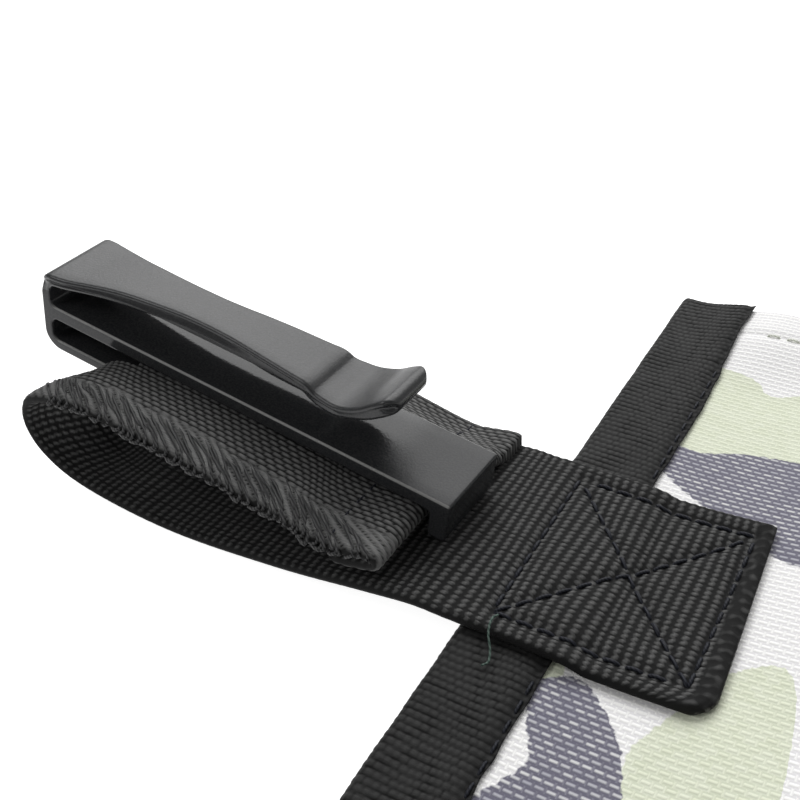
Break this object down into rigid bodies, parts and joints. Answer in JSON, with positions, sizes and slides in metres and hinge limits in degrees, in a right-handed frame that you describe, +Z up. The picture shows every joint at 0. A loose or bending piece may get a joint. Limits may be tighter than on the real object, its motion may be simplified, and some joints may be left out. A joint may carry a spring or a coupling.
{
  "type": "lipo safe bag",
  "caption": "Flat fire-resistant battery pouch with bound edges, a fold-over flap and a webbing strap loop that carries a spring belt clip.",
  "frame": {"origin": "centre of the pouch's flat underside, on the surface it lies on", "axes": "+X across the pouch, away from the strap; +Y towards the closed end; +Z up through the strap side"},
  "size_m": [0.2628, 0.2389, 0.0309],
  "materials": {
    "outer_fabric": "plain-woven printed polyester in a camouflage of off-white, sage and slate",
    "lining": "woven glass-fibre cloth, pale silver",
    "tape": "black ribbed polypropylene binding tape",
    "webbing": "black ribbed polypropylene webbing",
    "black_thread": "black bonded sewing thread",
    "pale_thread": "pale sewing thread",
    "hook_and_loop": "black hook-and-loop tape",
    "clip_plastic": "black moulded plastic with a fine grain on top and smoother sides"
  },
  "bodies": {
    "pouch": {"back_panel": "outer_fabric", "front_panel": "outer_fabric", "back_lining": "lining", "front_lining": "lining", "left_binding": "tape", "right_binding": "tape", "left_binding_stitches": "black_thread", "right_binding_stitches": "black_thread", "end_topstitch": "pale_thread", "mouth_topstitch": "pale_thread", "loop_strip": "hook_and_loop", "loop_strip_stitches": "black_thread", "flap_fold": "outer_fabric", "strap_tab": "webbing", "box_x_stitches": "black_thread"},
    "flap": {"flap_panel": "outer_fabric", "flap_lining": "lining", "flap_binding": "tape", "flap_binding_stitches": "black_thread", "hook_strip": "hook_and_loop", "hook_strip_stitches": "black_thread"},
    "strap_loop": {"webbing_loop": "webbing", "loop_seam_stitches": "black_thread", "slit_stitches": "black_thread", "clip_frame": "clip_plastic"},
    "clip_arm": {"spring_arm": "clip_plastic"}
  },
  "joints": [
    {"name": "flap_hinge", "type": "hinge", "parent": "pouch", "child": "flap", "pos_m": [0, -0.117, 0.00692], "axis": [1, 0, 0], "range_deg": [0, 170], "deforming": ["flap_fold"]},
    {"name": "strap_bend", "type": "hinge", "parent": "pouch", "child": "strap_loop", "pos_m": [-0.0914, 0.041, 0.0082], "axis": [0, 1, 0], "range_deg": [-40, 100]},
    {"name": "arm_flex", "type": "hinge", "parent": "strap_loop", "child": "clip_arm", "pos_m": [-0.16969, 0.04396, 0.02887], "axis": [-0.0488, -0.9988, 0], "range_deg": [0, 8], "stiffness_Nm_per_rad": 0.6}
  ]
}
